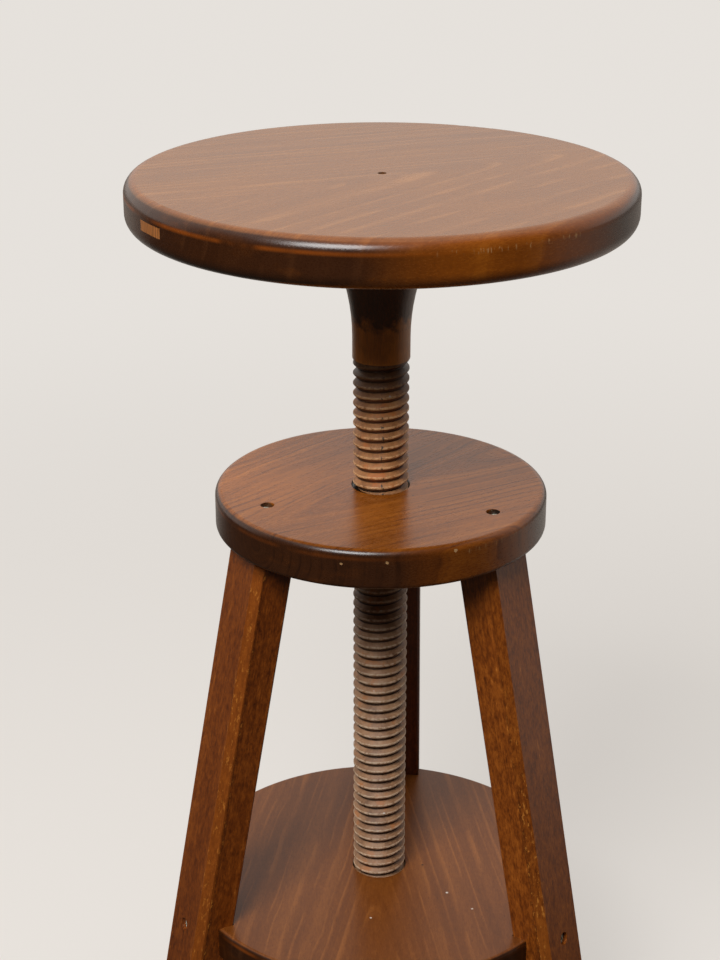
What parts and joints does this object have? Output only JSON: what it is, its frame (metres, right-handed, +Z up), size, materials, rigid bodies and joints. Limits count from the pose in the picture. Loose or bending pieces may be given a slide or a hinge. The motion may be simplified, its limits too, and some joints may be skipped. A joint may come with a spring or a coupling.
{
  "type": "machinist stool",
  "caption": "Height-adjustable wooden stool with a round seat on a helical wooden spindle, a threaded disc, splayed legs and a notched low shelf.",
  "frame": {"origin": "on the floor, under the axis of the spindle", "axes": "+Z up along the spindle's axis, +X to the right and +Y away from a person in front of the stool"},
  "size_m": [0.3579, 0.3706, 0.72],
  "materials": {
    "seat_wood": "satin varnish over brown stain",
    "tongue_wood": "satin varnish, lighter end grain",
    "spindle_wood": "waxed, worn thread",
    "disc_wood": "satin varnish over brown stain",
    "leg_wood": "satin varnish over brown stain",
    "shelf_wood": "satin varnish over brown stain",
    "screw_steel": "dull zinc-plated steel"
  },
  "bodies": {
    "base": {"threaded_disc": "disc_wood", "shelf": "shelf_wood", "leg_left": "leg_wood", "leg_right": "leg_wood", "leg_rear": "leg_wood", "leg_screw_left": "screw_steel", "leg_screw_right": "screw_steel", "leg_screw_rear": "screw_steel", "shelf_screw_left": "screw_steel", "shelf_screw_right": "screw_steel", "shelf_screw_rear": "screw_steel"},
    "lift": {"seat_centre_screw": "screw_steel"},
    "seat": {"seat_board_front": "seat_wood", "seat_board_rear": "seat_wood", "seat_tongue": "tongue_wood", "spindle": "spindle_wood"}
  },
  "joints": [
    {"name": "seat_lift", "type": "slide", "parent": "base", "child": "lift", "axis": [0, 0, 1], "range_m": [-0.0932, 0.0452]},
    {"name": "seat_turn", "type": "hinge", "parent": "lift", "child": "seat", "pos_m": [0, 0, 0.5], "axis": [0, 0, 1], "range_deg": [-4464, 2160]}
  ],
  "couplings": [
    {"joint": "seat_lift", "follows": "seat_turn", "m_per_rad": 0.0011937}
  ]
}
